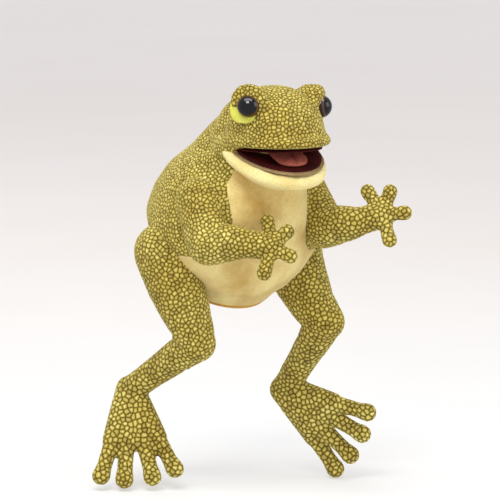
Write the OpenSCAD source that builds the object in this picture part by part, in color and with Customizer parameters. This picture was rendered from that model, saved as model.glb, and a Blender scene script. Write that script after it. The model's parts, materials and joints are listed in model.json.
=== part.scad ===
// Frog hand puppet: a plush frog worn on the forearm, with a hinged mouth and stuffed, jointed limbs.
// The frog faces -Y, its own left is +X and up is +Z. The origin is the middle of the hand opening.

/* [Body] */
// Lean of the hand sleeve back from upright, in degrees
lean = 25; // [22:1:27]
// Inside radius of the hand opening
opening_r = 39; // [37:0.5:40]
// Length of the hem round the opening
hem_length = 14; // [10:1:14]
// Thickness of the plush skins
skin = 2.4; // [2:0.1:2.6]
// Clearance between pieces that lie against each other
gap = 0.3; // [0.2:0.05:0.4]
// Half of the angle round the body that the belly panel covers
belly_half_angle = 62; // [50:1:70]

/* [Head] */
// Half of the head's width
head_half_w = 48; // [46:1:50]
// Height of the upper head above the lip line
head_h = 56; // [54:1:58]
// Reach of the snout in front of the middle of the head
snout = 53; // [50:1:55]
// Depth of the lower jaw below its lip
jaw_depth = 28; // [24:1:30]
// Angle between the jaws as the mouth is held open
mouth_open = 20; // [16:1:22]
// Diameter of an eye
eye_d = 21; // [19:0.5:22]

/* [Arms] */
// Radius of the upper arm
arm_r = 16; // [13:0.5:16]
// Radius of the forearm
forearm_r = 13; // [10:0.5:13]
// Reach of a finger from the middle of the palm
finger_reach = 32; // [28:1:34]
// Radius of a finger
finger_r = 6; // [5:0.25:6.5]

/* [Legs] */
// Radius of the thigh
thigh_r = 21; // [18:0.5:22]
// Radius of the shank
shank_r = 13; // [12:0.5:14]
// Length of a foot from the ankle to the longest toe
foot_length = 95; // [88:1:98]
// Angle between neighbouring toes, in degrees
toe_spread = 16; // [14:1:18]

/* [Hidden] */
$fn = 48;

LEFT = 1;
RIGHT = 0;
// joints of the limbs, right side first: the pose that the puppet holds
shoulder = [[-60, -53, 91], [60, -53, 91]];
elbow = [[-64, -77, 52], [62, -82, 60]];
wrist = [[-42.7, -98.6, 53.4], [75.6, -113.4, 66.2]];
palm = [[-28.4, -113.1, 50.1], [91.3, -127.6, 72.3]];
hip = [[-72, -12, 37], [72, -12, 37]];
knee = [[-59, -49, -46], [71, -73, -32]];
ankle = [[-86, 27, -97], [64, -11, -104]];
toe = [[-102, -14, -178], [107, -75, -154]];
// direction across the fingers and across the toes
finger_side = [[0.5, 0.3, 0.8], [0.45, 0.1, 0.9]];
toe_side = [[0.84, -0.54, 0.05], [-0.15, 0.54, -0.83]];
// angles of the fingers from the line of the palm, thumb first, and the palm's middle beyond the wrist
finger_angles = [94, 48, -8, -72];
palm_at = 22;
// radius of the ball that ends a segment, and of the waist above the ball
ball = 1.0;
knee_r = shank_r + ball;
ankle_r = shank_r - 1;
elbow_r = arm_r - ball;
wrist_r = forearm_r - 2;
hip_r = thigh_r - 2;

neck_pivot = [0, -58, 130];
jaw_pivot = [0, -81, 142];
head_mid = [0, -95, 144];
neck_room = 40;
lining_wall = 1.4;
hem_wall = 3;
lining_end = 116;
pocket = [60, 44, 20];
pocket_wall = 1.2;
plate_t = 1.6;
sheet_t = 1.2;

// rings of the body across the sleeve: height, half width, depth in front, depth behind
body_rings = [
  [2.5, 45, 45, 45], [14.5, 49, 51, 53], [26, 54, 57, 64], [40, 58, 60, 76], [58, 68, 61, 84],
  [78, 71, 58, 83], [98, 66, 53, 76], [114, 55, 46, 64], [127, 45, 44, 50]
];
// rows of the head's dome, as angles above the lip line
dome_rows = [0, 5, 14, 28, 44, 60, 74, 85];
round_n = 28;

function unit(v) = v / norm(v);
function across(a, b) = unit(cross(a, b));

// places children with z along the way from p to q
module along(p, q) {
  d = q - p;
  translate(p) rotate([0, acos(d.z / norm(d)), atan2(d.y, d.x)]) children();
}

// places children with z from p to q and x near the direction s
module facing(p, q, s) {
  z = unit(q - p);
  y = across(z, s);
  x = cross(y, z);
  multmatrix([[x.x, y.x, z.x, p.x], [x.y, y.y, z.y, p.y], [x.z, y.z, z.z, p.z], [0, 0, 0, 1]]) children();
}

module in_sleeve() rotate([lean, 0, 0]) children();
module in_jaw() translate(jaw_pivot) rotate([mouth_open, 0, 0]) children();

// a closed skin between two grids of points with the same rows and columns
module skin_between(outer, inner, wrap) {
  rows = len(outer);
  cols = len(outer[0]);
  n = rows * cols;
  last = wrap ? cols - 1 : cols - 2;
  points = [for (g = [outer, inner]) for (r = g) for (p = r) p];
  function at(k, r, c) = k * n + r * cols + c % cols;
  faces = concat(
    [for (r = [0:rows - 2]) for (c = [0:last])
      [at(0, r, c), at(0, r, c + 1), at(0, r + 1, c + 1), at(0, r + 1, c)]],
    [for (r = [0:rows - 2]) for (c = [0:last])
      [at(1, r, c), at(1, r + 1, c), at(1, r + 1, c + 1), at(1, r, c + 1)]],
    [for (c = [0:last]) [at(0, 0, c), at(1, 0, c), at(1, 0, c + 1), at(0, 0, c + 1)]],
    [for (c = [0:last])
      [at(0, rows - 1, c), at(0, rows - 1, c + 1), at(1, rows - 1, c + 1), at(1, rows - 1, c)]],
    wrap ? [] : [for (r = [0:rows - 2]) [at(0, r, 0), at(0, r + 1, 0), at(1, r + 1, 0), at(1, r, 0)]],
    wrap ? [] : [for (r = [0:rows - 2])
      [at(0, r, cols - 1), at(1, r, cols - 1), at(1, r + 1, cols - 1), at(0, r + 1, cols - 1)]]
  );
  polyhedron(points, [for (f = faces) [f[3], f[2], f[1], f[0]]]);
}

// a closed solid inside one wrapped grid of points, with flat ends
module solid_inside(grid) {
  rows = len(grid);
  cols = len(grid[0]);
  points = [for (r = grid) for (p = r) p];
  function at(r, c) = r * cols + c % cols;
  faces = concat(
    [for (r = [0:rows - 2]) for (c = [0:cols - 1])
      [at(r, c), at(r, c + 1), at(r + 1, c + 1), at(r + 1, c)]],
    [[for (c = [cols - 1:-1:0]) at(0, c)]],
    [[for (c = [0:cols - 1]) at(rows - 1, c)]]
  );
  polyhedron(points, [for (f = faces) [for (i = [len(f) - 1:-1:0]) f[i]]]);
}

// ---- body ----

function body_point(ring, a, inset) =
  let (depth = cos(a) > 0 ? ring[2] : ring[3])
  [(ring[1] - inset) * sin(a), -(depth - inset) * cos(a), ring[0]];
function body_grid(from, to, n, inset) =
  [for (ring = body_rings) [for (i = [0:n]) body_point(ring, from + (to - from) * i / n, inset)]];

// room for a limb that swings about X at its pivot: back and forward in degrees, out to a reach
module swing_room(pivot, end, r, back, forward, reach) {
  translate(pivot) sphere(r + 2 * gap);
  d = unit(end - pivot);
  hull() for (a = [-back, (forward - back) / 2, forward]) translate(pivot) rotate([-a, 0, 0])
    for (t = [8, reach]) translate(t * d) sphere(r + 2 * gap, $fn = 20);
}

module body_sockets() for (s = [RIGHT, LEFT]) {
  swing_room(hip[s], knee[s], thigh_r, 26, 36, 42);
  swing_room(shoulder[s], elbow[s], arm_r + 1, 13, 61, norm(elbow[s] - shoulder[s]));
}

module back_panel() color("olivedrab") difference() {
  in_sleeve() skin_between(
    body_grid(belly_half_angle + 0.4, 360 - belly_half_angle - 0.4, 22, 0),
    body_grid(belly_half_angle + 0.4, 360 - belly_half_angle - 0.4, 22, skin), false);
  body_sockets();
}

module belly_panel() color("khaki") difference() {
  in_sleeve() skin_between(
    body_grid(-belly_half_angle, belly_half_angle, 12, 0),
    body_grid(-belly_half_angle, belly_half_angle, 12, skin), false);
  body_sockets();
}

module body_stuffing() color("white") difference() {
  in_sleeve() solid_inside(body_grid(0, 360 - 360 / round_n, round_n - 1, skin + 2 * gap));
  in_sleeve() {
    cylinder(h = 150, r = opening_r + lining_wall + gap);
    cylinder(h = hem_length + gap, r = opening_r + hem_wall + gap);
  }
  body_sockets();
}

module hand_lining() color("olive") in_sleeve() difference() {
  translate([0, 0, hem_length + gap]) cylinder(h = lining_end - hem_length, r = opening_r + lining_wall);
  cylinder(h = 150, r = opening_r);
}

module opening_hem() color("goldenrod") in_sleeve() difference() {
  cylinder(h = hem_length, r = opening_r + hem_wall);
  translate([0, 0, -1]) cylinder(h = hem_length + 2, r = opening_r);
}

// ---- upper head ----

function dome_point(a, v, inset, front, back, high) =
  let (f = pow(cos(v), 0.667), h = pow(sin(v), 0.667), reach = cos(a) > 0 ? front : back)
  [(head_half_w - inset) * f * sin(a), -(reach - inset) * f * cos(a), (high - inset) * h];
function dome_grid(inset, high) =
  [for (v = dome_rows) [for (i = [0:round_n - 1])
    dome_point(360 * i / round_n, v, inset, snout, snout + 5, high)]];

// the right eye as if it were on the left, then the left one
eye_mid = [[42, -112, 183], [41, -112, 179]];
eye_aim = [0.66, -0.74, 0.1];
stem_r = 3;
patch_r = 14.5;
brow_ring_r = 17;
brow_r = 5;
brow_arc = 110;

// places children at an eye, z pointing out of it and y up
module at_eye(side) mirror([side == LEFT ? 0 : 1, 0, 0])
  facing(eye_mid[side], eye_mid[side] + eye_aim, [0, 0, 1]) children();

module eye_room(side) at_eye(side) {
  sphere(eye_d / 2 + gap);
  translate([0, 0, -6]) cylinder(h = 40, r = patch_r + gap);
  translate([0, 0, -22]) cylinder(h = 22, r = stem_r + gap);
  translate([0, 0, -18.5]) cylinder(h = 3, r = 9 + gap);
}
module brow_shape(grow) translate([0, 0, -1]) rotate([0, 0, -brow_arc / 2])
  rotate_extrude(angle = brow_arc) translate([brow_ring_r, 0]) circle(brow_r + grow, $fn = 24);
module brow_room(side) at_eye(side) brow_shape(gap);

module head_skin_cut() {
  translate(neck_pivot) sphere(neck_room);
  for (s = [RIGHT, LEFT]) {
    eye_room(s);
    brow_room(s);
  }
}

module head_panel() color("olivedrab") difference() {
  translate(head_mid) difference() {
    solid_inside(dome_grid(0, head_h));
    translate([0, 0, -0.01]) solid_inside(dome_grid(skin, head_h));
  }
  head_skin_cut();
}

module head_stuffing() color("white") difference() {
  translate(head_mid) solid_inside(dome_grid(skin + gap, head_h));
  translate([-60, -200, head_mid.z - 1]) cube([120, 200, 1 + plate_t + 2 * gap]);
  translate([-pocket.x / 2 - gap, jaw_pivot.y - pocket.y - gap, head_mid.z])
    cube([pocket.x + 2 * gap, 100, plate_t + 4 * gap + pocket.z]);
  head_skin_cut();
}

module mouth_outline(inset) intersection() {
  translate([0, head_mid.y - jaw_pivot.y]) rotate(-90)
    polygon([for (i = [0:round_n - 1]) let (a = 360 * i / round_n)
      [(snout - inset) * cos(a), (head_half_w - inset) * sin(a)]]);
  translate([-60, -100]) square([120, 100]);
}

module upper_mouth_plate() color("burlywood")
  translate([0, jaw_pivot.y, head_mid.z + gap]) linear_extrude(plate_t) mouth_outline(skin + gap);

module palate_lining() color("maroon")
  translate([0, jaw_pivot.y, head_mid.z - sheet_t - gap / 3]) linear_extrude(sheet_t) mouth_outline(1);

module pocket_shell(size) difference() {
  translate([-size.x / 2, -size.y, 0]) cube(size);
  translate([-size.x / 2 + pocket_wall, -size.y + pocket_wall, pocket_wall])
    cube([size.x - 2 * pocket_wall, size.y, size.z - 2 * pocket_wall]);
}

module finger_pocket() color("olive")
  translate([0, jaw_pivot.y, head_mid.z + plate_t + 2 * gap]) pocket_shell(pocket);

module eye(side) color("saddlebrown") at_eye(side) {
  sphere(eye_d / 2);
  translate([0, 0, -20]) cylinder(h = 20, r = stem_r);
}
module eye_washer(side) color("white") at_eye(side) translate([0, 0, -18]) difference() {
  cylinder(h = 2, r = 9);
  translate([0, 0, -1]) cylinder(h = 4, r = stem_r);
}
module eye_patch(side) color("yellow") at_eye(side) difference() {
  translate([0, 0, -4]) cylinder(h = 3, r = patch_r);
  sphere(eye_d / 2 + gap);
  translate([0, 0, -20]) cylinder(h = 20, r = stem_r + gap);
  brow_shape(gap);
}
module brow(side) color("olivedrab") at_eye(side) brow_shape(0);

// ---- lower jaw, built level in its own frame with the hinge as origin ----

jaw_mid = [0, head_mid.y - jaw_pivot.y, -2 * gap];
module jaw_bowl(inset) translate(jaw_mid) mirror([0, 0, 1]) solid_inside(dome_grid(inset, jaw_depth));
module jaw_back(y) translate([-60, y, -60]) cube([120, 200, 120]);

module chin_panel() color("khaki") in_jaw() difference() {
  jaw_bowl(0);
  translate([0, 0, 0.01]) jaw_bowl(skin);
  jaw_back(-4);
}

thumb = [30, 40, 18];
module jaw_stuffing() color("white") in_jaw() difference() {
  jaw_bowl(skin + gap);
  jaw_back(-4);
  translate([-60, -100, -plate_t - 3 * gap]) cube([120, 200, 50]);
  translate([-thumb.x / 2 - gap, -thumb.y - gap - 1, -thumb.z - plate_t - 4 * gap])
    cube([thumb.x + 2 * gap, 100, 60]);
}
module lower_mouth_plate() color("burlywood") in_jaw() difference() {
  translate([0, 0, -plate_t - 2 * gap]) linear_extrude(plate_t) mouth_outline(skin + gap);
  jaw_back(-3);
}
module mouth_floor_lining() color("maroon") in_jaw() difference() {
  translate([0, 0, -gap]) linear_extrude(sheet_t) mouth_outline(1);
  jaw_back(-5);
}
module tongue() color("indianred") in_jaw()
  hull() {
    translate([0, -42, sheet_t]) cylinder(h = 3, r = 13, $fn = 32);
    translate([0, -26, sheet_t]) cylinder(h = 1.2, r = 11, $fn = 32);
  }
module thumb_pocket() color("olive") in_jaw()
  translate([0, -1, -thumb.z - plate_t - 3 * gap]) pocket_shell([thumb.x, thumb.y, thumb.z - gap]);

// ---- limbs ----

// outline of a limb segment of length l, in radius and height, that ends in a ball
function end_ball(l, waist, r, inset) =
  let (from = -acos((waist - inset) / (r - inset)))
  [for (i = [0:6]) let (a = from + (90 - from) * i / 6)
    [i == 6 ? 0 : (r - inset) * cos(a), l + (r - inset) * sin(a)]];
// with a ball at its start too
function start_ball(r, inset) =
  [for (i = [0:5]) let (a = -90 + 22 * i) [i == 0 ? 0 : (r - inset) * cos(a), (r - inset) * sin(a)]];
// or with a flat start at height s
function start_flat(s, r, inset) =
  [[0, s + inset], [r - 3 - 0.6 * inset, s + inset], [r - inset, s + 3 + 0.4 * inset]];

function thigh_outline(l, inset) = concat(
  start_ball(hip_r, inset), [[thigh_r - inset, 0.42 * l], [thigh_r - 2 - inset, 0.6 * l]],
  end_ball(l, shank_r - 1, knee_r, inset));
function shank_outline(l, inset) = concat(
  start_flat(knee_r + 0.8, shank_r - 1, inset), [[shank_r - inset, 0.4 * l]],
  end_ball(l, ankle_r - 2, ankle_r, inset));
function upper_arm_outline(l, inset) = concat(
  start_ball(arm_r + 1, inset), [[arm_r - inset, 0.5 * l]],
  end_ball(l, elbow_r - 2, elbow_r, inset));
function forearm_outline(l, inset) = concat(
  start_flat(elbow_r + 0.8, forearm_r, inset),
  end_ball(l, wrist_r - 1.5, wrist_r, inset));

function flipped(v) = [for (i = [len(v) - 1:-1:0]) v[i]];
module turned_skin(outer, inner) rotate_extrude() polygon(concat(outer, flipped(inner)));
module turned(outline) rotate_extrude() polygon(outline);

module thigh(s) color("olivedrab") along(hip[s], knee[s]) {
  l = norm(knee[s] - hip[s]);
  turned_skin(thigh_outline(l, 0), thigh_outline(l, skin));
}
module thigh_stuffing(s) color("white") along(hip[s], knee[s])
  turned(thigh_outline(norm(knee[s] - hip[s]), skin + gap));
module shank(s) color("olivedrab") along(knee[s], ankle[s]) {
  l = norm(ankle[s] - knee[s]);
  turned_skin(shank_outline(l, 0), shank_outline(l, skin));
}
module shank_stuffing(s) color("white") along(knee[s], ankle[s])
  turned(shank_outline(norm(ankle[s] - knee[s]), skin + gap));
module upper_arm(s) color("olivedrab") along(shoulder[s], elbow[s]) {
  l = norm(elbow[s] - shoulder[s]);
  turned_skin(upper_arm_outline(l, 0), upper_arm_outline(l, skin));
}
module upper_arm_stuffing(s) color("white") along(shoulder[s], elbow[s])
  turned(upper_arm_outline(norm(elbow[s] - shoulder[s]), skin + gap));
module forearm(s) color("olivedrab") along(elbow[s], wrist[s]) {
  l = norm(wrist[s] - elbow[s]);
  turned_skin(forearm_outline(l, 0), forearm_outline(l, skin - 0.6));
}
module forearm_stuffing(s) color("white") along(elbow[s], wrist[s])
  turned(forearm_outline(norm(wrist[s] - elbow[s]), skin - 0.6 + gap));

// a webbed foot with four toes that spread from it, z along the toes and x across them
module webbed_foot(length, spread, root_r, web, web_r, digit_r, tip_r, inset) {
  angles = [for (i = [-1.5:1:1.5]) i * spread];
  hull() {
    sphere(root_r - inset, $fn = 16);
    for (a = angles) translate(web * length * [sin(a), 0, cos(a)]) sphere(web_r - inset, $fn = 14);
  }
  for (a = angles) hull() {
    translate(web * length * [sin(a), 0, cos(a)]) sphere(digit_r - inset, $fn = 12);
    translate((length - tip_r) * [sin(a), 0, cos(a)]) sphere(tip_r - inset, $fn = 12);
  }
}
module foot_shape(inset) webbed_foot(foot_length, toe_spread, shank_r, 0.56, 8.5, 6.8, 8, inset);
// a small palm with four fingers that spread round it like a star
module hand_shape(inset) {
  hull() {
    sphere(forearm_r - 1 - inset, $fn = 16);
    for (x = [-6, 6]) translate([x, 0, palm_at]) sphere(9 - inset, $fn = 16);
  }
  for (a = finger_angles) hull()
    for (t = [6, finger_reach - finger_r]) translate([t * sin(a), 0, palm_at + t * cos(a)])
      sphere(finger_r - inset, $fn = 14);
}
module root_room(r) translate([-50, -50, -50]) cube([100, 100, 50 + r]);

module foot(s) color("olivedrab") facing(ankle[s], toe[s], toe_side[s]) difference() {
  foot_shape(0);
  foot_shape(skin - 0.4);
  root_room(ankle_r + 2);
}
module foot_stuffing(s) color("white") facing(ankle[s], toe[s], toe_side[s]) difference() {
  foot_shape(skin - 0.4 + gap);
  root_room(ankle_r + 2.2);
}
module hand(s) color("olivedrab") facing(wrist[s], palm[s], finger_side[s]) difference() {
  hand_shape(0);
  hand_shape(skin - 0.6);
  root_room(wrist_r + 0.8);
}
module hand_stuffing(s) color("white") facing(wrist[s], palm[s], finger_side[s]) difference() {
  hand_shape(skin - 0.6 + gap);
  root_room(wrist_r + 1);
}

back_panel();
belly_panel();
body_stuffing();
hand_lining();
opening_hem();
head_panel();
head_stuffing();
upper_mouth_plate();
palate_lining();
finger_pocket();
eye(LEFT);  // eye_left
eye(RIGHT);  // eye_right
eye_washer(LEFT);  // eye_washer_left
eye_washer(RIGHT);  // eye_washer_right
eye_patch(LEFT);  // eye_patch_left
eye_patch(RIGHT);  // eye_patch_right
brow(LEFT);  // brow_left
brow(RIGHT);  // brow_right
chin_panel();
jaw_stuffing();
lower_mouth_plate();
mouth_floor_lining();
tongue();
thumb_pocket();
upper_arm(LEFT);  // upper_arm_left
upper_arm(RIGHT);  // upper_arm_right
upper_arm_stuffing(LEFT);  // upper_arm_stuffing_left
upper_arm_stuffing(RIGHT);  // upper_arm_stuffing_right
forearm(LEFT);  // forearm_left
forearm(RIGHT);  // forearm_right
forearm_stuffing(LEFT);  // forearm_stuffing_left
forearm_stuffing(RIGHT);  // forearm_stuffing_right
hand(LEFT);  // hand_left
hand(RIGHT);  // hand_right
hand_stuffing(LEFT);  // hand_stuffing_left
hand_stuffing(RIGHT);  // hand_stuffing_right
thigh(LEFT);  // thigh_left
thigh(RIGHT);  // thigh_right
thigh_stuffing(LEFT);  // thigh_stuffing_left
thigh_stuffing(RIGHT);  // thigh_stuffing_right
shank(LEFT);  // shank_left
shank(RIGHT);  // shank_right
shank_stuffing(LEFT);  // shank_stuffing_left
shank_stuffing(RIGHT);  // shank_stuffing_right
foot(LEFT);  // foot_left
foot(RIGHT);  // foot_right
foot_stuffing(LEFT);  // foot_stuffing_left
foot_stuffing(RIGHT);  // foot_stuffing_right
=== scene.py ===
"""Frog hand puppet: plush skins, linings, glossy eyes and the scene that shows them."""
import json
import math

import bmesh
import bpy
import numpy as np
from mathutils import Matrix, Vector, noise
from mathutils.kdtree import KDTree


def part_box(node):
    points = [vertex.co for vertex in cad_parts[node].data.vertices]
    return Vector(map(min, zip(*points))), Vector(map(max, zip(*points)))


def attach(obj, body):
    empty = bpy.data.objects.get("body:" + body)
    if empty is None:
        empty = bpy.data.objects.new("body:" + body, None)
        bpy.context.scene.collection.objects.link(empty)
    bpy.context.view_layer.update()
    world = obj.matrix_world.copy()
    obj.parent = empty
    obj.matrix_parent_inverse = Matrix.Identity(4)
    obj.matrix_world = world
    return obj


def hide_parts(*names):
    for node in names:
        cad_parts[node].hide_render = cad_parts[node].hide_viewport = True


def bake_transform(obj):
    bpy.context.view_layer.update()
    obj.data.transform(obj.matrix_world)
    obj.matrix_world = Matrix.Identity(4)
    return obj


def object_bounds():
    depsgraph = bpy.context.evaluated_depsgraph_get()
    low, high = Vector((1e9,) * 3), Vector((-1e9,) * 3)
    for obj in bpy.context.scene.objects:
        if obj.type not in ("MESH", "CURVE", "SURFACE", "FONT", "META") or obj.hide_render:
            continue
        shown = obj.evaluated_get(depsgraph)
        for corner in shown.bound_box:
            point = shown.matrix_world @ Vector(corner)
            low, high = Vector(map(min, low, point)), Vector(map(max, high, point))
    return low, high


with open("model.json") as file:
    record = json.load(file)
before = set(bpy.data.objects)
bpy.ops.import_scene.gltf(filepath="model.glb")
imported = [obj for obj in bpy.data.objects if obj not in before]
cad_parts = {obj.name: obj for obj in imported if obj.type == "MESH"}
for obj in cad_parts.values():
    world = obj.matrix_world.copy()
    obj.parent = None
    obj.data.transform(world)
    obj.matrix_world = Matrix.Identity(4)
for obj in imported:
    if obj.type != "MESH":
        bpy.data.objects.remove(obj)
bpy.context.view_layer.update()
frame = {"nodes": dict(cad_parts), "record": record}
MM = 0.001

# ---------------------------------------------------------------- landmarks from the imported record
record = frame["record"]
joint = {j["name"]: Vector(j["pos_m"]) for j in record["behaviour"]["joints"]}
opening = next(m for m in record["mounts"] if m["name"] == "hand_opening")
opening_r = opening["dims"]["r_mm"] * MM
sleeve_up = -Vector(opening["axis"]).normalized()
sleeve_back = sleeve_up.cross(Vector((1, 0, 0))).normalized()
if sleeve_back.y < 0:
    sleeve_back = -sleeve_back
SIDES = {"right": -1, "left": 1}
neck = joint["neck_nod"]
hinge = joint["mouth"]


def node_points(name):
    """A CAD node's vertices as an array."""
    return np.array([v.co for v in frame["nodes"][name].data.vertices])


def sleeve(x, y, z):
    """A point given across (x), behind (y) and up (z) the hand sleeve, in millimetres."""
    return Vector((x * MM, 0, 0)) + sleeve_back * (y * MM) + sleeve_up * (z * MM)


# ---------------------------------------------------------------- mesh helpers
def link(name, mesh):
    obj = bpy.data.objects.new(name, mesh)
    bpy.context.scene.collection.objects.link(obj)
    return obj


def mesh_of(bm, name):
    mesh = bpy.data.meshes.new(name)
    bm.to_mesh(mesh)
    bm.free()
    return mesh


def ball(bm, at, radii, turn=None):
    """Adds an ellipsoid to bm. radii is one number or three."""
    radii = (radii,) * 3 if isinstance(radii, (int, float)) else radii
    matrix = Matrix.Translation(at)
    if turn is not None:
        matrix = matrix @ turn.to_4x4()
    matrix = matrix @ Matrix.Diagonal((*radii, 1))
    bmesh.ops.create_icosphere(bm, subdivisions=4, radius=1, matrix=matrix)


def taper(bm, a, b, ra, rb):
    """Adds the solid swept by a sphere that goes from a to b and changes radius."""
    part = bmesh.new()
    bmesh.ops.create_icosphere(part, subdivisions=3, radius=ra, matrix=Matrix.Translation(a))
    bmesh.ops.create_icosphere(part, subdivisions=3, radius=rb, matrix=Matrix.Translation(b))
    hull = bmesh.ops.convex_hull(part, input=part.verts)
    bmesh.ops.delete(part, geom=list(set(hull["geom_interior"] + hull["geom_unused"])), context="VERTS")
    tmp = mesh_of(part, "tmp")
    bm.from_mesh(tmp)
    bpy.data.meshes.remove(tmp)


def loft(bm, rings):
    """Adds the closed solid through rings of points."""
    made = [[bm.verts.new(p) for p in ring] for ring in rings]
    n = len(made[0])
    for low, high in zip(made, made[1:]):
        for i in range(n):
            bm.faces.new((low[i], low[(i + 1) % n], high[(i + 1) % n], high[i]))
    bm.faces.new(list(reversed(made[0])))
    bm.faces.new(made[-1])


def applied(obj):
    """obj with its modifiers made real."""
    bpy.context.view_layer.update()
    graph = bpy.context.evaluated_depsgraph_get()
    mesh = bpy.data.meshes.new_from_object(obj.evaluated_get(graph))
    obj.modifiers.clear()
    old = obj.data
    obj.data = mesh
    bpy.data.meshes.remove(old)
    return obj


def fused(name, bm, voxel, smoothing):
    """One closed skin over everything in bm, with its joins rounded off."""
    obj = link(name, mesh_of(bm, name))
    remesh = obj.modifiers.new("remesh", "REMESH")
    remesh.mode = "VOXEL"
    remesh.voxel_size = voxel
    if smoothing:
        smooth = obj.modifiers.new("smooth", "SMOOTH")
        smooth.factor = 0.5
        smooth.iterations = smoothing
    return applied(obj)


def coords(obj):
    co = np.empty(len(obj.data.vertices) * 3, np.float32)
    obj.data.vertices.foreach_get("co", co)
    return co.reshape(-1, 3).astype(float)


def set_coords(obj, co):
    obj.data.vertices.foreach_set("co", co.astype(np.float32).ravel())
    obj.data.update()


def normals(obj):
    n = np.empty(len(obj.data.vertices) * 3, np.float32)
    obj.data.vertex_normals.foreach_get("vector", n)
    return n.reshape(-1, 3).astype(float)


def stuffed(obj, pinned, pressure=4.0, cap=0.006, slack=-0.02, frames=20):
    """Swells a closed cloth skin from inside. pinned(points) gives 1 where the cloth is held."""
    before = coords(obj)
    group = obj.vertex_groups.new(name="pin")
    hold = pinned(before)
    for i in np.nonzero(hold > 0.01)[0]:
        group.add([int(i)], float(hold[i]), "REPLACE")
    cloth = obj.modifiers.new("cloth", "CLOTH")
    settings = cloth.settings
    settings.quality = 6
    settings.mass = 0.2
    settings.tension_stiffness = 12
    settings.compression_stiffness = 6
    settings.shear_stiffness = 4
    settings.bending_stiffness = 0.25
    settings.use_pressure = True
    settings.uniform_pressure_force = pressure
    settings.shrink_min = slack
    settings.vertex_group_mass = "pin"
    settings.effector_weights.gravity = 0
    cloth.collision_settings.use_collision = False
    cloth.point_cache.frame_start = 1
    cloth.point_cache.frame_end = frames
    scene = bpy.context.scene
    for f in range(1, frames + 1):
        scene.frame_set(f)
    applied(obj)
    scene.frame_set(1)
    move = coords(obj) - before
    size = np.linalg.norm(move, axis=1, keepdims=True)
    move *= np.minimum(1, cap / np.maximum(size, 1e-9))
    set_coords(obj, before + move)
    obj.vertex_groups.clear()
    return obj


def finer(obj, levels=1):
    sub = obj.modifiers.new("subdivision", "SUBSURF")
    sub.levels = sub.render_levels = levels
    return applied(obj)


def smooth_shaded(obj):
    obj.data.shade_smooth()
    return obj


def floats(obj, name, values):
    layer = obj.data.attributes.get(name) or obj.data.attributes.new(name, "FLOAT", "POINT")
    layer.data.foreach_set("value", np.asarray(values, np.float32))


def vectors(obj, name, values):
    layer = obj.data.attributes.get(name) or obj.data.attributes.new(name, "FLOAT_VECTOR", "POINT")
    layer.data.foreach_set("vector", np.asarray(values, np.float32).ravel())


def clouds(points, scale, seed=0.0):
    """Soft noise from 0 to 1 at each point; scale is the size of a patch in metres."""
    shift = Vector((seed, seed * 1.7, -seed))
    return np.array([0.5 + 0.5 * noise.noise(Vector(p) / scale + shift) for p in points])


def spread_seeds(points, spacing, seed):
    """Picks points at least spacing apart, in a fixed shuffled order. Each point has its own spacing."""
    order = np.random.default_rng(seed).permutation(len(points))
    cell = float(np.max(spacing))
    keys = np.floor(points / cell).astype(int)
    grid, kept = {}, []
    around = [(i, j, k) for i in (-1, 0, 1) for j in (-1, 0, 1) for k in (-1, 0, 1)]
    for n in order:
        p = points[n]
        kx, ky, kz = keys[n]
        limit = spacing[n] ** 2
        if any(
            (p[0] - q[0]) ** 2 + (p[1] - q[1]) ** 2 + (p[2] - q[2]) ** 2 < limit
            for i, j, k in around
            for q in grid.get((kx + i, ky + j, kz + k), ())
        ):
            continue
        grid.setdefault((kx, ky, kz), []).append(p)
        kept.append(n)
    return np.array(kept)


def pebbles(obj, pad, height=0.55, seed=1):
    """Raises the skin's scale pads and notes them on the mesh.

    pad is a pad's width in metres, as one number or one for each point. The attributes say where a point
    lies: pad is 0 on a line and 1 on a pad, and tone is the shade of its pad.
    """
    co = coords(obj)
    vectors(obj, "rest", co)
    warp = np.stack([clouds(co, 0.010, s) for s in (3.1, 7.7, 11.9)], 1) - 0.5
    warped = co + warp * 0.0012
    pad = np.broadcast_to(np.asarray(pad, float), (len(co),))
    seeds = spread_seeds(warped, pad * 0.86, seed)
    tree = KDTree(len(seeds))
    for i, s in enumerate(seeds):
        tree.insert(warped[s], i)
    tree.balance()
    near = np.array([[f[1] for f in tree.find_n(p, 4)] for p in warped])
    own = warped[seeds[near[:, 0]]]
    edge = np.full(len(co), 1.0)
    for k in (1, 2, 3):
        other = warped[seeds[near[:, k]]]
        gap = other - own
        length = np.linalg.norm(gap, axis=1)
        to_line = np.einsum("ij,ij->i", (own + other) / 2 - warped, gap) / np.maximum(length, 1e-9)
        edge = np.minimum(edge, to_line)
    edge = np.maximum(edge, 0)
    t = np.clip(edge / (pad * 0.30), 0, 1)
    dome = np.sqrt(np.clip(1 - (1 - t) ** 2, 0, 1))
    tone = np.random.default_rng(seed + 50).random(len(seeds))
    set_coords(obj, co + normals(obj) * ((dome - 0.55) * height * MM)[:, None])
    floats(obj, "pad", t)
    floats(obj, "tone", tone[near[:, 0]])
    return obj


def part_of(obj, name, keep):
    """A copy of obj with only the faces whose middle keep() accepts, shaded as the whole was."""
    whole = normals(obj)
    centres = np.empty(len(obj.data.polygons) * 3, np.float32)
    obj.data.polygons.foreach_get("center", centres)
    wanted = keep(centres.reshape(-1, 3).astype(float))
    bm = bmesh.new()
    bm.from_mesh(obj.data)
    index = bm.verts.layers.int.new("from_whole")
    for v in bm.verts:
        v[index] = v.index
    bm.faces.ensure_lookup_table()
    bmesh.ops.delete(bm, geom=[bm.faces[i] for i in np.nonzero(~wanted)[0]], context="FACES")
    piece = link(name, mesh_of(bm, name))
    came = np.empty(len(piece.data.vertices), np.int32)
    piece.data.attributes["from_whole"].data.foreach_get("value", came)
    piece.data.attributes.remove(piece.data.attributes["from_whole"])
    piece.data.shade_smooth()
    piece.data.normals_split_custom_set_from_vertices(whole[came].astype(np.float32))
    return piece


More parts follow.
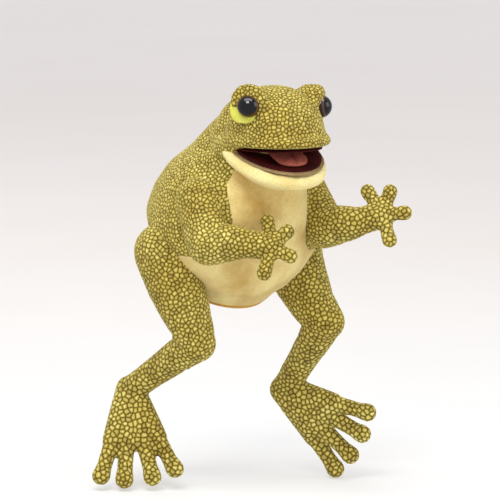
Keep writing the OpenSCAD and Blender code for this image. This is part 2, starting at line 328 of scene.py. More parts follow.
def drop(obj):
    mesh = obj.data
    bpy.data.objects.remove(obj)
    bpy.data.meshes.remove(mesh)


# ---------------------------------------------------------------- materials
def linear(r, g, b):
    """An sRGB colour from 0 to 255 as linear RGBA."""
    parts = [c / 255 for c in (r, g, b)]
    return (*[c / 12.92 if c <= 10 / 255 else ((c + 0.055) / 1.055) ** 2.4 for c in parts], 1)


class Look:
    """A node material, with short calls for the nodes that the fabrics share."""

    def __init__(self, name, roughness=0.85, specular=0.25):
        self.material = bpy.data.materials.new(name)
        self.material.use_nodes = True
        self.nodes = self.material.node_tree.nodes
        self.links = self.material.node_tree.links
        self.shader = self.nodes["Principled BSDF"]
        self.shader.inputs["Roughness"].default_value = roughness
        self.shader.inputs["Specular IOR Level"].default_value = specular

    def join(self, a, b):
        self.links.new(a, b)

    def attribute(self, name, output="Fac"):
        n = self.nodes.new("ShaderNodeAttribute")
        n.attribute_name = name
        return n.outputs[output]

    def noise(self, where, scale, detail=3, roughness=0.55):
        n = self.nodes.new("ShaderNodeTexNoise")
        n.inputs["Scale"].default_value = scale
        n.inputs["Detail"].default_value = detail
        n.inputs["Roughness"].default_value = roughness
        self.join(where, n.inputs["Vector"])
        return n.outputs["Fac"]

    def stretched(self, where, scale):
        n = self.nodes.new("ShaderNodeMapping")
        n.inputs["Scale"].default_value = scale
        self.join(where, n.inputs["Vector"])
        return n.outputs["Vector"]

    def ramp(self, value, stops):
        n = self.nodes.new("ShaderNodeValToRGB")
        ramp = n.color_ramp
        while len(ramp.elements) < len(stops):
            ramp.elements.new(0.5)
        for e, (at, colour) in zip(ramp.elements, stops):
            e.position = at
            e.color = colour
        self.join(value, n.inputs["Fac"])
        return n.outputs["Color"]

    def mix(self, a, b, factor, mode="MIX"):
        n = self.nodes.new("ShaderNodeMix")
        n.data_type = "RGBA"
        n.blend_type = mode
        for value, socket in ((factor, n.inputs["Factor"]), (a, n.inputs[6]), (b, n.inputs[7])):
            if isinstance(value, (int, float, tuple)):
                socket.default_value = value
            else:
                self.join(value, socket)
        return n.outputs[2]

    def scaled(self, value, low, high):
        n = self.nodes.new("ShaderNodeMapRange")
        n.inputs["To Min"].default_value = low
        n.inputs["To Max"].default_value = high
        self.join(value, n.inputs["Value"])
        return n.outputs["Result"]

    def bump(self, height, distance, strength=1.0, below=None):
        n = self.nodes.new("ShaderNodeBump")
        n.inputs["Distance"].default_value = distance
        n.inputs["Strength"].default_value = strength
        self.join(height, n.inputs["Height"])
        if below is not None:
            self.join(below, n.inputs["Normal"])
        self.join(n.outputs["Normal"], self.shader.inputs["Normal"])
        return n.outputs["Normal"]

    def sheen(self, weight, tint, roughness=0.5):
        self.shader.inputs["Sheen Weight"].default_value = weight
        self.shader.inputs["Sheen Roughness"].default_value = roughness
        self.shader.inputs["Sheen Tint"].default_value = tint

    def colour(self, socket):
        self.join(socket, self.shader.inputs["Base Color"])


def scale_plush():
    """Short plush printed and pressed into olive pads with dark lines between them, and a painted highlight
    that lightens each pad towards its centre.
    """
    look = Look("scale_plush", roughness=0.82, specular=0.2)
    rest = look.attribute("rest", "Vector")
    # printed dark lines, then painted highlight: each pad lightens from its line to a bright centre, as light
    # on a raised pad would
    pads = look.ramp(look.attribute("pad"), [
        (0.0, linear(72, 60, 20)), (0.2, linear(104, 90, 36)), (0.42, linear(172, 156, 82)),
        (0.76, linear(212, 198, 122)), (1.0, linear(244, 234, 170))])
    tones = look.ramp(look.attribute("tone"), [
        (0.0, linear(186, 176, 132)), (0.35, linear(222, 214, 168)), (0.65, linear(244, 238, 196)),
        (1.0, linear(255, 254, 232))])
    toned = look.mix(pads, tones, 0.8, "MULTIPLY")
    broad = look.ramp(look.noise(rest, 16, 2), [
        (0.35, linear(226, 214, 158)), (0.65, linear(255, 255, 236))])
    washed = look.mix(toned, broad, 0.75, "MULTIPLY")
    fibre = look.noise(rest, 1400, 2, 0.7)
    specks = look.ramp(fibre, [(0.3, linear(205, 205, 190)), (0.7, linear(255, 255, 255))])
    look.colour(look.mix(washed, specks, 0.7, "MULTIPLY"))
    look.bump(fibre, 0.0005, 0.35)
    look.sheen(0.35, linear(235, 228, 150))
    return look.material


def cream_plush(name, pale, deep, streak=(260, 260, 60)):
    """Long soft cream plush, shaded in broad patches and fine streaks of fibre."""
    look = Look(name, roughness=0.9, specular=0.15)
    rest = look.attribute("rest", "Vector")
    patches = look.ramp(look.noise(rest, 26, 3), [(0.30, deep), (0.62, pale)])
    fibres = look.noise(look.stretched(rest, streak), 6, 3, 0.65)
    strands = look.ramp(fibres, [(0.28, linear(205, 190, 150)), (0.6, linear(255, 255, 255))])
    fine = look.noise(rest, 1500, 2, 0.7)
    look.colour(look.mix(patches, strands, 0.55, "MULTIPLY"))
    below = look.bump(fibres, 0.0012, 0.5)
    look.bump(fine, 0.0004, 0.4, below)
    look.sheen(0.6, linear(255, 240, 190))
    return look.material


def cloth(name, pale, deep, thread=900):
    """Plain woven or brushed cloth."""
    look = Look(name, roughness=0.88, specular=0.2)
    rest = look.attribute("rest", "Vector")
    nap = look.noise(rest, thread, 3, 0.7)
    broad = look.noise(rest, 60, 3)
    base = look.ramp(broad, [(0.3, deep), (0.7, pale)])
    specks = look.ramp(nap, [(0.3, linear(190, 190, 190)), (0.65, linear(255, 255, 255))])
    look.colour(look.mix(base, specks, 0.6, "MULTIPLY"))
    look.bump(nap, 0.0006, 0.6)
    look.sheen(0.4, pale)
    return look.material


def eye_plastic():
    """Brown iris round a black pupil, under a clear gloss. axial is how squarely the surface faces out."""
    look = Look("eye_plastic", roughness=0.05, specular=0.5)
    axial = look.attribute("axial")
    rest = look.attribute("rest", "Vector")
    rings = look.ramp(axial, [
        (0.0, linear(10, 7, 6)), (0.3, linear(14, 9, 7)), (0.38, linear(84, 52, 34)),
        (0.50, linear(104, 68, 48)), (0.555, linear(48, 30, 20)), (0.58, linear(4, 4, 5)),
        (1.0, linear(2, 2, 3))])
    flecks = look.ramp(look.noise(rest, 500, 3), [
        (0.35, linear(170, 160, 150)), (0.65, linear(255, 255, 255))])
    look.colour(look.mix(rings, flecks, 0.6, "MULTIPLY"))
    look.shader.inputs["Coat Weight"].default_value = 0.5
    look.shader.inputs["Coat Roughness"].default_value = 0.03
    return look.material


SCALES = scale_plush()
CREAM = cream_plush("cream_plush", linear(246, 228, 160), linear(206, 172, 98))
CHIN = cream_plush("chin_plush", linear(255, 244, 178), linear(232, 206, 124))
HEM = cloth("hem_cloth", linear(222, 172, 72), linear(196, 138, 48), 700)
LINING = cloth("lining_cloth", linear(150, 146, 92), linear(118, 112, 64), 500)
MOUTH = cloth("mouth_cloth", linear(84, 16, 14), linear(52, 6, 6))
TONGUE = cloth("tongue_cloth", linear(206, 118, 98), linear(158, 76, 62))
PATCH = cloth("eye_patch_cloth", linear(240, 240, 120), linear(222, 222, 84))
BOARD = cloth("stiff_board", linear(176, 150, 108), linear(150, 124, 86), 400)
EYE = eye_plastic()
WASHER = cloth("washer_plastic", linear(232, 232, 228), linear(216, 216, 210), 200)


def dressed(obj, material):
    if not obj.data.attributes.get("rest"):
        vectors(obj, "rest", coords(obj))
    obj.data.materials.clear()
    obj.data.materials.append(material)
    return obj


# ---------------------------------------------------------------- body, neck and upper head
head_mid = hinge + Vector((0, -14, 4)) * MM
HEAD_W, HEAD_FRONT, HEAD_BACK, HEAD_HIGH = 43.5, 47, 58, 51.5


def superball(bm, at, half_w, front, back, up, down, power=2.3, turn=None):
    """Adds a boxy ellipsoid with its own reach in front, behind, above and below, in millimetres."""
    made = bmesh.ops.create_icosphere(bm, subdivisions=4, radius=1)["verts"]
    for v in made:
        x, y, z = v.co
        r = (abs(x) ** power + abs(y) ** power + abs(z) ** power) ** (-1 / power)
        p = Vector((x * half_w, y * (front if y < 0 else back), z * (up if z > 0 else down))) * (r * MM)
        v.co = at + (turn @ p if turn is not None else p)


def lip_line(half_w, reach, height, degrees, count=40):
    """Points along a lip, from one corner of the mouth round the front to the other."""
    points = []
    for i in range(count + 1):
        a = math.radians(-degrees + 2 * degrees * i / count)
        points.append(Vector((half_w * math.sin(a), -reach * math.cos(a), height)) * MM)
    return points


def chain(bm, points, radii):
    for a, b, ra, rb in zip(points, points[1:], radii, radii[1:]):
        taper(bm, a, b, ra, rb)


def eye_frame(side):
    """Where an eye sits and faces, read from the washer on its stem."""
    p = node_points(f"eye_washer_{side}")
    centre = (p.min(0) + p.max(0)) / 2
    values, directions = np.linalg.eigh(np.cov((p - centre).T))
    aim = Vector(directions[:, 0])
    if aim.y > 0:
        aim = -aim
    return Vector(centre) + aim * 17 * MM, aim


EYE_R = 10.8 * MM
eyes = {side: eye_frame(side) for side in SIDES}
# the photo shows the left eye a little nearer the middle of the head than the solids have it
eyes["left"] = (eyes["left"][0] + Vector((-3, -1, -0.5)) * MM, eyes["left"][1])


def facing_matrix(at, aim, up=Vector((0, 0, 1))):
    """A frame at a point with z along aim and y as near up as it can be."""
    x = up.cross(aim).normalized()
    y = aim.cross(x)
    m = Matrix((x, y, aim)).transposed().to_4x4()
    m.translation = at
    return m


BODY_RINGS = [  # height up the sleeve, half width, depth in front, depth behind
    (1, 45, 44, 45), (6, 48, 47, 49), (14, 53, 51, 57), (26, 64, 57, 69), (40, 76, 62, 82), (60, 84, 63, 90),
    (80, 82, 60, 89), (100, 75, 55, 83), (118, 63, 48, 72), (136, 50, 41, 58), (150, 42, 38, 46)]


def body_form(bm):
    rings = []
    for z, half_w, front, back in BODY_RINGS:
        ring = []
        for i in range(64):
            a = 2 * math.pi * i / 64
            depth = front if math.cos(a) > 0 else back
            ring.append(sleeve(half_w * math.sin(a), -depth * math.cos(a), z))
        rings.append(ring)
    loft(bm, rings)


def head_form(bm):
    superball(bm, head_mid, HEAD_W, HEAD_FRONT, HEAD_BACK, HEAD_HIGH, 4)
    lip = [head_mid + p for p in lip_line(HEAD_W + 1.5, HEAD_FRONT + 4, 2.0, 118)]
    chain(bm, lip, [4.9 * MM] * len(lip))
    for side, s in SIDES.items():
        at, aim = eyes[side]
        m = facing_matrix(at, aim)
        ball(bm, at + Vector((-s * 6, 9, 3 if s < 0 else 7)) * MM, (13 * MM, 17 * MM, 14 * MM))
        arc = []
        for i in range(15):
            a = math.radians(90 + (i - 7) * 12.5)
            arc.append(m @ (Vector((14.5 * math.cos(a), 15.0 * math.sin(a), -2.0)) * MM))
        chain(bm, arc, [(3.2 + 3.4 * math.sin(math.pi * i / 14)) * MM for i in range(15)])
        ball(bm, hinge + Vector((s * 37, 8, -1)) * MM, (11 * MM, 22 * MM, 13 * MM))


# how far round the cream panel reaches on each side: height up the sleeve in millimetres, and degrees
BELLY_EDGE = [
    (0, 78), (20, 78), (45, 80), (55, 70), (65, 46), (75, 40), (90, 40), (105, 44), (118, 52), (128, 60),
    (150, 60)]


def belly_side(points):
    """Metres past the edge of the belly panel: below 0 on the cream plush, above 0 on the scales."""
    up = points @ np.array(sleeve_up)
    back = points @ np.array(sleeve_back)
    x = points[:, 0]
    angle = np.abs(np.arctan2(x, -back))
    r = np.hypot(x, back)
    limit = np.radians(np.interp(up / MM, *zip(*BELLY_EDGE)))
    side = r * (angle - limit)
    over = points[:, 2] - (head_mid.z - 6 * MM)
    return np.maximum(side, over)


def snapped(obj, edge, reach=0.00055):
    """Moves the vertices nearest to where edge() is 0 onto it, so a panel's edge runs clean."""
    co = coords(obj)
    g = edge(co)
    step = 0.0002
    slope = np.stack([(edge(co + np.eye(3)[k] * step) - g) / step for k in range(3)], 1)
    n = normals(obj)
    slope -= n * np.einsum("ij,ij->i", slope, n)[:, None]
    near = np.abs(g) < reach
    co[near] -= slope[near] * (g[near] / np.maximum((slope[near] ** 2).sum(1), 0.05))[:, None]
    set_coords(obj, co)


def seam(obj, edge, depth=0.9, width=1.6):
    """Sinks the skin along a sewn edge."""
    co = coords(obj)
    g = np.abs(edge(co)) / (width * MM)
    set_coords(obj, co - normals(obj) * (depth * MM * np.exp(-g * g))[:, None])


def ease(value, low, high):
    t = np.clip((value - low) / (high - low), 0, 1)
    return t * t * (3 - 2 * t)


def make_body():
    bm = bmesh.new()
    body_form(bm)
    neck_low = sleeve(0, 4, 112)
    taper(bm, neck_low, neck + Vector((0, -2, 18)) * MM, 47 * MM, 40 * MM)
    taper(bm, sleeve(0, 22, 104), head_mid + Vector((0, 30, 0)) * MM, 52 * MM, 41 * MM)
    head_form(bm)
    whole = fused("skin", bm, 0.0033, 3)

    def held(p):
        low = 1 - ease(p @ np.array(sleeve_up), 0.008, 0.022)
        lip = (np.abs(p[:, 2] - head_mid.z) < 0.008) * (p[:, 1] < neck.y)
        sockets = np.zeros(len(p))
        for at, _ in eyes.values():
            away = np.linalg.norm(p - np.array(at), axis=1)
            sockets = np.maximum(sockets, 1 - ease(away, 0.020, 0.034))
        return np.clip(np.maximum(np.maximum(low, lip), sockets), 0, 1)

    stuffed(whole, held, cap=0.004)
    finer(whole, 2)
    snapped(whole, belly_side)
    seam(whole, belly_side)
    return whole


def cut_below(obj, height):
    """Opens the body's skin at the hand opening."""
    bm = bmesh.new()
    bm.from_mesh(obj.data)
    bmesh.ops.bisect_plane(
        bm, geom=bm.verts[:] + bm.edges[:] + bm.faces[:], plane_co=sleeve(0, 0, height),
        plane_no=sleeve_up, clear_inner=True)
    bm.to_mesh(obj.data)
    bm.free()


body_skin = make_body()
cut_below(body_skin, 4.2)
on_belly = belly_side(coords(body_skin))
rest_of = coords(body_skin)
pebbles(body_skin, 0.0035, height=0.55, seed=3)
raised = coords(body_skin)
keep_pebbles = ease(on_belly, 0.0, 0.0015)[:, None]
set_coords(body_skin, rest_of + (raised - rest_of) * keep_pebbles)

scales = part_of(body_skin, "skin_scales", lambda p: belly_side(p) > 0)
belly = part_of(body_skin, "belly_plush", lambda p: belly_side(p) <= 0)
drop(body_skin)
dressed(scales, SCALES)
dressed(belly, CREAM)
for piece, nodes in (
    (scales, ("back_panel", "body_stuffing", "head_panel", "head_stuffing", "brow_left", "brow_right")),
    (belly, ("belly_panel",)),
):
    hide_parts(*nodes)
    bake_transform(piece)

# ---------------------------------------------------------------- lower jaw, in its own frame at the hinge
JAW_TILT = math.radians(23)
jaw_frame = Matrix.Translation(hinge) @ Matrix.Rotation(JAW_TILT, 4, "X")
jaw_mid = Vector((0, -14, -0.6)) * MM


def moved(obj, matrix):
    obj.data.transform(matrix)
    obj.data.update()
    return obj


def make_jaw():
    bm = bmesh.new()
    superball(bm, jaw_mid, 44, 49, 50, 0, 26, power=2.4)
    lip = [jaw_mid + p for p in lip_line(42.5, 48, -5.6, 125)]
    chain(bm, lip, [7.0 * MM] * len(lip))
    chin = fused("chin", bm, 0.0030, 3)

    def held(p):
        return ((p[:, 2] > -0.001) & (np.hypot(p[:, 0], p[:, 1] - jaw_mid.y) < 0.040)).astype(float)

    stuffed(chin, held, cap=0.003)
    finer(chin, 1)
    return moved(chin, jaw_frame)


chin = make_jaw()
dressed(chin, CHIN)
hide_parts("chin_panel", "jaw_stuffing")
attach(chin, "jaw")


def mouth_sheet(name, inset, height, thick, dip):
    """A cloth lining shaped to the mouth and slightly dished, placed about jaw_mid."""
    bm = bmesh.new()
    rings, spokes = 14, 72
    layers = []
    for level in (0, -thick):
        middle_vert = bm.verts.new(jaw_mid + Vector((0, 0, height + level - dip)) * MM)
        rows = []
        for r in range(1, rings + 1):
            f = r / rings
            row = []
            for i in range(spokes):
                a = 2 * math.pi * i / spokes
                depth = (HEAD_FRONT - inset) if math.cos(a) > 0 else 34
                x, y = (HEAD_W - inset) * f * math.sin(a), -depth * f * math.cos(a)
                pucker = 0.35 * math.sin(7 * a + 5 * f) * f * (1 - f) * 4
                z = height + level - dip * (1 - f * f) + pucker
                row.append(bm.verts.new(jaw_mid + Vector((x, y, z)) * MM))
            rows.append(row)
        layers.append((middle_vert, rows))
    for sign, (mid, rows) in zip((1, -1), layers):
        for i in range(spokes):
            j = (i + 1) % spokes
            tri = (mid, rows[0][i], rows[0][j])
            bm.faces.new(tri if sign > 0 else tri[::-1])
            for low, high in zip(rows, rows[1:]):
                quad = (low[i], high[i], high[j], low[j])
                bm.faces.new(quad if sign > 0 else quad[::-1])
    top, bottom = layers[0][1][-1], layers[1][1][-1]
    for i in range(spokes):
        j = (i + 1) % spokes
        bm.faces.new((top[j], top[i], bottom[i], bottom[j]))
    bmesh.ops.recalc_face_normals(bm, faces=bm.faces)
    return smooth_shaded(link(name, mesh_of(bm, name)))


floor_lining = moved(mouth_sheet("mouth_floor", 0.6, 3.8, 1.2, 1.2), jaw_frame)
dressed(floor_lining, MOUTH)
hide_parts("mouth_floor_lining")
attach(floor_lining, "jaw")

palate = mouth_sheet("palate", 1.2, 0.0, 1.2, -1.8)
moved(palate, Matrix.Translation(head_mid - jaw_mid + Vector((0, 0, -4.8)) * MM))
dressed(palate, MOUTH)
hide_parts("palate_lining")
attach(palate, "head")


def make_tongue():
    bm = bmesh.new()
    superball(bm, Vector((0, -36, 5.6)) * MM, 17.5, 17, 26, 4.4, 3, power=2.5)
    tongue = fused("tongue", bm, 0.0013, 2)
    finer(tongue, 1)
    co = coords(tongue)
    groove = np.exp(-((co[:, 0] / 0.0016) ** 2)) * ease(co[:, 2], 0.005, 0.007)
    folds = np.sin(co[:, 0] / 0.0021) * 0.00025 * ease(co[:, 2], 0.005, 0.007)
    co[:, 2] += folds - groove * 0.0011
    co[:, 2] += (clouds(co, 0.008, 2.0) - 0.5) * 0.0012
    set_coords(tongue, co)
    smooth_shaded(tongue)
    return moved(tongue, jaw_frame)


tongue = dressed(make_tongue(), TONGUE)
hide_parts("tongue")
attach(tongue, "jaw")

# ---------------------------------------------------------------- eyes
def make_eye(side):
    at, aim = eyes[side]
    bm = bmesh.new()
    bmesh.ops.create_uvsphere(bm, u_segments=96, v_segments=64, radius=EYE_R)
    for v in bm.verts:
        if v.co.z < -0.3 * EYE_R:
            v.co.z = -0.3 * EYE_R + (v.co.z + 0.3 * EYE_R) * 0.4
    obj = link(f"eyeball_{side}", mesh_of(bm, "eye"))
    floats(obj, "axial", coords(obj)[:, 2] / EYE_R)
    moved(obj, facing_matrix(at, aim))
    smooth_shaded(obj)
    dressed(obj, EYE)
    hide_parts(f"eye_{side}")
    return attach(obj, "head")


def make_patch(side):
    """The lime disc of plush behind an eye, dished round the eye and soft at its rim."""
    at, aim = eyes[side]
    s = SIDES[side]
    bm = bmesh.new()
    superball(bm, Vector((s * 4.6, -3.0, -3.8)) * MM, 13.5, 13.5, 13.5, 3.6, 6, power=2.4)
    obj = fused(f"eye_surround_{side}", bm, 0.0012, 3)
    finer(obj, 1)
    co = coords(obj)
    set_coords(obj, co + normals(obj) * ((clouds(co, 0.002, 4.0) - 0.5) * 0.0006)[:, None])
    moved(obj, facing_matrix(at, aim))
    smooth_shaded(obj)
    dressed(obj, PATCH)
    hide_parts(f"eye_patch_{side}")
    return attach(obj, "head")


for side in SIDES:
    make_eye(side)
    make_patch(side)

# ---------------------------------------------------------------- hand sleeve inside the body
def tube(name, path, radii, wall, ripple=0.0, folds=14, spokes=96):
    """An open cloth tube gathered into folds. path holds centres with their x and y directions."""
    bm = bmesh.new()
    layers = []
    for inner in (0, wall):
        rows = []
        for k, ((centre, dx, dy), (rx, ry)) in enumerate(zip(path, radii)):
            row = []
            for i in range(spokes):
                a = 2 * math.pi * i / spokes
                fold = math.sin(folds * a + 0.7 * math.sin(k * 0.9))
                wave = ripple * fold * (0.4 + 0.6 * math.sin(k * 0.7 + a) ** 2)
                x, y = (rx - inner + wave) * math.cos(a), (ry - inner + wave) * math.sin(a)
                row.append(bm.verts.new(centre + dx * (x * MM) + dy * (y * MM)))
            rows.append(row)
        layers.append(rows)
    outer, inner = layers
    for i in range(spokes):
        j = (i + 1) % spokes
        for low, high in zip(outer, outer[1:]):
            bm.faces.new((low[i], low[j], high[j], high[i]))
        for low, high in zip(inner, inner[1:]):
            bm.faces.new((low[j], low[i], high[i], high[j]))
        bm.faces.new((outer[0][j], outer[0][i], inner[0][i], inner[0][j]))
        bm.faces.new((outer[-1][i], outer[-1][j], inner[-1][j], inner[-1][i]))
    bmesh.ops.recalc_face_normals(bm, faces=bm.faces)
    return smooth_shaded(link(name, mesh_of(bm, name)))


X = Vector((1, 0, 0))
levels = np.linspace(1.5, 118, 40)
lining_r = opening_r / MM - 0.8
lining = tube(
    "hand_sleeve", [(sleeve(0, 0, z), X, sleeve_back) for z in levels],
    [(lining_r - 2.5 * ease(z, 90, 120), lining_r - 6 * ease(z, 90, 120)) for z in levels],
    1.0, ripple=0.5)
dressed(lining, LINING)
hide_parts("hand_lining")
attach(lining, "body")

hem_profile = []
for i in range(25):
    a = 2 * math.pi * i / 24
    hem_profile.append((3.2 * math.cos(a) * (1 + 0.25 * math.cos(2 * a)), 7.4 * math.sin(a)))


def make_hem():
    """The bound edge of the hand opening: a soft rolled band with a row of stitches."""
    bm = bmesh.new()
    spokes = 220
    rows = []
    for k, (dr, dz) in enumerate(hem_profile[:-1]):
        row = []
        for i in range(spokes):
            a = 2 * math.pi * i / spokes
            pucker = 0.35 * math.sin(34 * a) * math.exp(-(((dz - 2.5) / 2.2) ** 2)) if dr > 0 else 0
            r = opening_r / MM + 3.6 + dr - pucker
            row.append(bm.verts.new(sleeve(r * math.sin(a), -r * math.cos(a), 7.6 + dz)))
        rows.append(row)
    for k, row in enumerate(rows):
        nxt = rows[(k + 1) % len(rows)]
        for i in range(spokes):
            j = (i + 1) % spokes
            bm.faces.new((row[i], row[j], nxt[j], nxt[i]))
    bmesh.ops.recalc_face_normals(bm, faces=bm.faces)
    hem = smooth_shaded(link("hem_band", mesh_of(bm, "hem_band")))
    dressed(hem, HEM)
    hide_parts("opening_hem")
    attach(hem, "body")


make_hem()


def pocket(name, node, body, matrix, size):
    """A flat cloth pocket for fingers or thumb, open at the back."""
    half_w, length, half_h = size
    path, radii = [], []
    for k in range(24):
        f = k / 23
        path.append((matrix @ (Vector((0, -length * f, 0)) * MM), matrix.to_3x3() @ X,
                     matrix.to_3x3() @ Vector((0, 0, 1))))
        close = math.sqrt(max(1 - f ** 6, 0.004))
        radii.append((half_w * close, half_h * close))
    obj = tube(name, path, radii, 0.9, ripple=0.25, folds=9)
    dressed(obj, LINING)
    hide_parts(node)
    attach(obj, body)


finger_low, finger_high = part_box("finger_pocket")
finger_back = Vector((0, finger_high.y, (finger_low.z + finger_high.z) / 2))
thumb_back = Vector((0, -1, -11)) * MM
pocket("finger_sleeve", "finger_pocket", "head", Matrix.Translation(finger_back), (29, 43, 9.5))
pocket("thumb_sleeve", "thumb_pocket", "jaw", jaw_frame @ Matrix.Translation(thumb_back), (14, 39, 7.5))

# ---------------------------------------------------------------- limbs
def tip_points(node, pivot, apart=14 * MM, count=4):
    """The middle of a CAD hand or foot, and its digits' ends: the farthest points that lie well apart."""
    p = node_points(node)
    beyond = p[np.linalg.norm(p - np.array(pivot), axis=1) > 17 * MM]
    centre = (beyond.min(0) + beyond.max(0)) / 2 if "hand" in node else np.array(pivot)
    found = []
    for q in beyond[np.argsort(-np.linalg.norm(beyond - centre, axis=1))]:
        if all(np.linalg.norm(q - other) > apart for other in found):
            found.append(q)
        if len(found) == count:
            break
    across = max((a - b for a in found for b in found), key=np.linalg.norm)
    found.sort(key=lambda q: (q - centre) @ across)
    return Vector(centre), [Vector(q) for q in found]


def toes(bm, pivot, node, shape):
    """Adds a webbed foot whose toes spread from the ankle and end in pads."""
    _, tips = tip_points(node, pivot)
    ends = []
    for tip in tips:
        way = (tip - pivot).normalized()
        last = tip - way * shape["tip_r"] * 0.65
        base = pivot.lerp(tip, shape["web"])
        waist = pivot.lerp(tip, shape["web"] * 0.35 + 0.65)
        taper(bm, base, waist, shape["digit_r"], shape["waist_r"])
        taper(bm, waist, last, shape["waist_r"], shape["tip_r"])
        taper(bm, pivot, base, shape["root_r"], shape["web_r"])
        ends.append(base)
    for a, b in zip(ends, ends[1:]):
        taper(bm, a, b, shape["web_r"] * 0.86, shape["web_r"] * 0.86)
        taper(bm, pivot, (a + b) / 2, shape["root_r"], shape["web_r"] * 0.9)


def fingers(bm, pivot, node, shape):
    """Adds a palm with fingers spread round it like a star, each with a square soft end."""
    centre, tips = tip_points(node, pivot)
    taper(bm, pivot, centre, shape["root_r"], shape["web_r"])
    for tip in tips:
        way = (tip - centre).normalized()
        last = tip - way * shape["tip_r"] * 0.7
        taper(bm, centre + way * 5 * MM, centre.lerp(last, 0.62), shape["digit_r"] * 1.12, shape["waist_r"])
        taper(bm, centre.lerp(last, 0.62), last, shape["waist_r"], shape["tip_r"])


# a limb's radii along its upper and lower segment, its digits, and its pads' width at each end.
# lengths are in millimetres
LEG = dict(
    joints=("hip", "knee", "ankle"), bodies=("thigh", "shank", "foot"),
    radii=[(0.0, 28), (0.15, 28), (0.4, 27), (0.75, 21.5), (1.0, 18)],
    lower=[(0.0, 17), (0.25, 16), (0.6, 13.2), (1.0, 12.2)],
    tip=dict(root_r=13.5, web=0.56, web_r=9.6, digit_r=7.8, tip_r=8.6, waist_r=7.0), end=toes, pad=(3.9, 4.5))
ARM = dict(
    joints=("shoulder", "elbow", "wrist"), bodies=("upper_arm", "forearm", "hand"),
    radii=[(0.0, 21.5), (0.4, 21), (0.75, 20.5), (1.0, 20)],
    lower=[(0.0, 20), (0.4, 19), (0.8, 16.5), (1.0, 15)],
    tip=dict(root_r=14, web_r=11.5, digit_r=6.8, tip_r=7.0, waist_r=6.0), end=fingers, pad=(3.6, 4.2))


# how far the middle of an upper segment bows to the side, in millimetres
BOWS = {"thigh_left": Vector((-8, 0, 0))}


def along(bm, a, b, radii, bow=Vector()):
    points = [a.lerp(b, t) + bow * (math.sin(math.pi * t) * MM) for t, _ in radii]
    chain(bm, points, [r * MM for _, r in radii])


def make_limb(side, kind, seed):
    a, b, c = (joint[f"{j}_{side}"] for j in kind["joints"])
    upper, lower, end = (f"{n}_{side}" for n in kind["bodies"])
    bm = bmesh.new()
    along(bm, a, b, kind["radii"], BOWS.get(upper, Vector()))
    along(bm, b, c, kind["lower"])
    kind["end"](bm, c, end, {k: v * MM if k.endswith("_r") else v for k, v in kind["tip"].items()})
    skin = fused(f"{upper}_whole", bm, 0.0018, 4)
    top = np.array(a)

    def held(p):
        near = 1 - ease(np.linalg.norm(p - top, axis=1), 0.015, 0.03)
        folds = np.zeros(len(p))
        for pivot in (b, c):
            away = np.linalg.norm(p - np.array(pivot), axis=1)
            folds = np.maximum(folds, 0.8 * (1 - ease(away, 0.010, 0.022)))
        return np.maximum(near, folds)

    stuffed(skin, held, cap=0.0025)
    finer(skin, 1)
    co = coords(skin)
    far = ease((co - np.array(b)) @ np.array((c - b).normalized()), -0.01, 0.03)
    pads = (kind["pad"][0] + (kind["pad"][1] - kind["pad"][0]) * far) * MM
    pebbles(skin, pads, height=0.6, seed=seed)
    first = a.lerp(b, 0.5)
    second = b.lerp(c, 0.5)
    up, down = np.array((b - a).normalized()), np.array((c - b).normalized())

    def in_upper(p):
        return (p - np.array(first)) @ up < 0

    def in_end(p):
        return ((p - np.array(second)) @ down > 0) & ~in_upper(p)

    pieces = (
        part_of(skin, f"{upper}_skin", in_upper),
        part_of(skin, f"{lower}_skin", lambda p: ~in_upper(p) & ~in_end(p)),
        part_of(skin, f"{end}_skin", in_end))
    drop(skin)
    for piece, node in zip(pieces, (upper, lower, end)):
        dressed(piece, SCALES)
        name, s = node.rsplit("_", 1)
        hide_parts(node, f"{name}_stuffing_{s}")
    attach(pieces[0], upper)
    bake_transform(pieces[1])
    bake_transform(pieces[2])


for n, side in enumerate(SIDES):
    make_limb(side, LEG, 10 + n)
    make_limb(side, ARM, 20 + n)

# ---------------------------------------------------------------- hidden stiffeners keep their CAD shape
for node, material in (
    ("upper_mouth_plate", BOARD), ("lower_mouth_plate", BOARD),
    ("eye_washer_left", WASHER), ("eye_washer_right", WASHER),
):
    obj = frame["nodes"][node]
    if not obj.data.attributes.get("rest"):
        vectors(obj, "rest", coords(obj))
    obj.data.materials.clear()
    obj.data.materials.append(material)

# ---------------------------------------------------------------- studio
low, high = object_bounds()
FLOOR_Z = low[2] - 0.0005


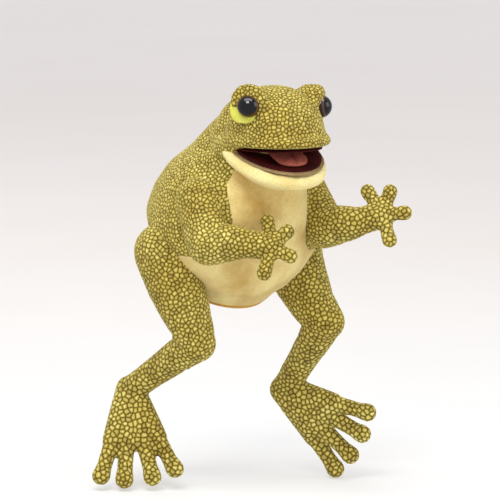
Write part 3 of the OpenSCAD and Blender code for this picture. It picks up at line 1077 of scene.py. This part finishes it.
def make_floor():
    """A round floor that curves up into a wall far outside the cameras."""
    bm = bmesh.new()
    spokes = 128
    flat_r, curve_r = 5.0, 3.5
    profile = [(0.001, 0)] + [(r, 0) for r in (0.3, 0.8, 1.6, 3.0, flat_r)]
    for i in range(1, 13):
        a = math.radians(90 * i / 12)
        profile.append((flat_r + curve_r * math.sin(a), curve_r * (1 - math.cos(a))))
    profile.append((flat_r + curve_r, 2 * curve_r))
    rows = []
    for r, z in profile:
        rows.append([bm.verts.new((r * math.cos(t), r * math.sin(t), FLOOR_Z + z))
                     for t in (2 * math.pi * i / spokes for i in range(spokes))])
    for low_row, high_row in zip(rows, rows[1:]):
        for i in range(spokes):
            j = (i + 1) % spokes
            bm.faces.new((low_row[i], low_row[j], high_row[j], high_row[i]))
    bm.faces.new(rows[0])
    bmesh.ops.recalc_face_normals(bm, faces=bm.faces)
    obj = smooth_shaded(link("floor", mesh_of(bm, "floor")))
    vectors(obj, "rest", coords(obj))
    look = Look("floor_paper", roughness=0.95, specular=0.0)
    grain = look.noise(look.attribute("rest", "Vector"), 3, 2)
    look.colour(look.ramp(grain, [(0.3, (0.49, 0.49, 0.49, 1)), (0.7, (0.51, 0.51, 0.51, 1))]))
    # painted light: the sweep glows by its own emission in place of lamp light falling on it, neutral near
    # the toy, warmer farther back and lighter far behind
    away = look.nodes.new("ShaderNodeVectorMath")
    away.operation = "LENGTH"
    look.join(look.attribute("rest", "Vector"), away.inputs[0])
    reach = look.scaled(away.outputs["Value"], 0, 1)
    reach.node.inputs["From Max"].default_value = 6.0
    painted_sweep_light = look.ramp(reach, [
        (0.08, (0.410, 0.412, 0.414, 1)), (0.18, (0.415, 0.399, 0.385, 1)), (0.31, (0.402, 0.366, 0.336, 1)),
        (0.47, (0.422, 0.392, 0.377, 1)), (0.57, (0.440, 0.411, 0.393, 1)), (0.80, (0.450, 0.424, 0.416, 1))])
    look.join(painted_sweep_light, look.shader.inputs["Emission Color"])
    look.shader.inputs["Emission Strength"].default_value = 1.0
    obj.data.materials.append(look.material)
    obj.visible_glossy = False


make_floor()


def area_light(name, at, target, size, energy, colour=(1, 1, 1)):
    data = bpy.data.lights.new(name, "AREA")
    data.shape = "RECTANGLE"
    data.size, data.size_y = size
    data.energy = energy
    data.color = colour
    obj = bpy.data.objects.new(name, data)
    bpy.context.scene.collection.objects.link(obj)
    obj.location = at
    obj.rotation_euler = (Vector(target) - Vector(at)).to_track_quat("-Z", "Y").to_euler()


centre = Vector((0, -0.017, 0.045))
area_light("key", (-1.5, -1.6, 2.3), centre, (1.3, 1.0), 39, (1.0, 0.985, 0.95))
area_light("overhead", (-0.35, -0.45, 2.2), centre, (2.6, 1.1), 29, (1.0, 0.99, 0.96))
area_light("fill", (1.9, -1.9, 0.9), centre, (1.6, 1.6), 11)
area_light("back", (0.4, 2.2, 1.6), centre, (1.6, 1.2), 13)

world = bpy.data.worlds.new("studio")
bpy.context.scene.world = world
world.use_nodes = True
world.node_tree.nodes["Background"].inputs["Color"].default_value = (0.93, 0.94, 1.0, 1)
world.node_tree.nodes["Background"].inputs["Strength"].default_value = 0.42

# ---------------------------------------------------------------- camera
AZIMUTH, ELEVATION, DISTANCE = math.radians(-33), math.radians(7), 6.0
VIEW_HEIGHT = 0.475
right = Vector((math.cos(AZIMUTH), math.sin(AZIMUTH), 0))
up = Vector((
    -math.sin(AZIMUTH) * math.sin(ELEVATION), math.cos(AZIMUTH) * math.sin(ELEVATION), math.cos(ELEVATION)))
back = right.cross(up)
target = centre + right * 0.018 - up * 0.0095
camera_data = bpy.data.cameras.new("camera")
camera_data.sensor_width = 36
camera_data.lens = 36 * DISTANCE / VIEW_HEIGHT
camera_data.clip_end = 50
camera = bpy.data.objects.new("camera", camera_data)
bpy.context.scene.collection.objects.link(camera)
turn = Matrix((right, up, back)).transposed().to_4x4()
camera.matrix_world = Matrix.Translation(target + back * DISTANCE) @ turn
bpy.context.scene.camera = camera
bpy.context.scene.view_settings.view_transform = "Standard"
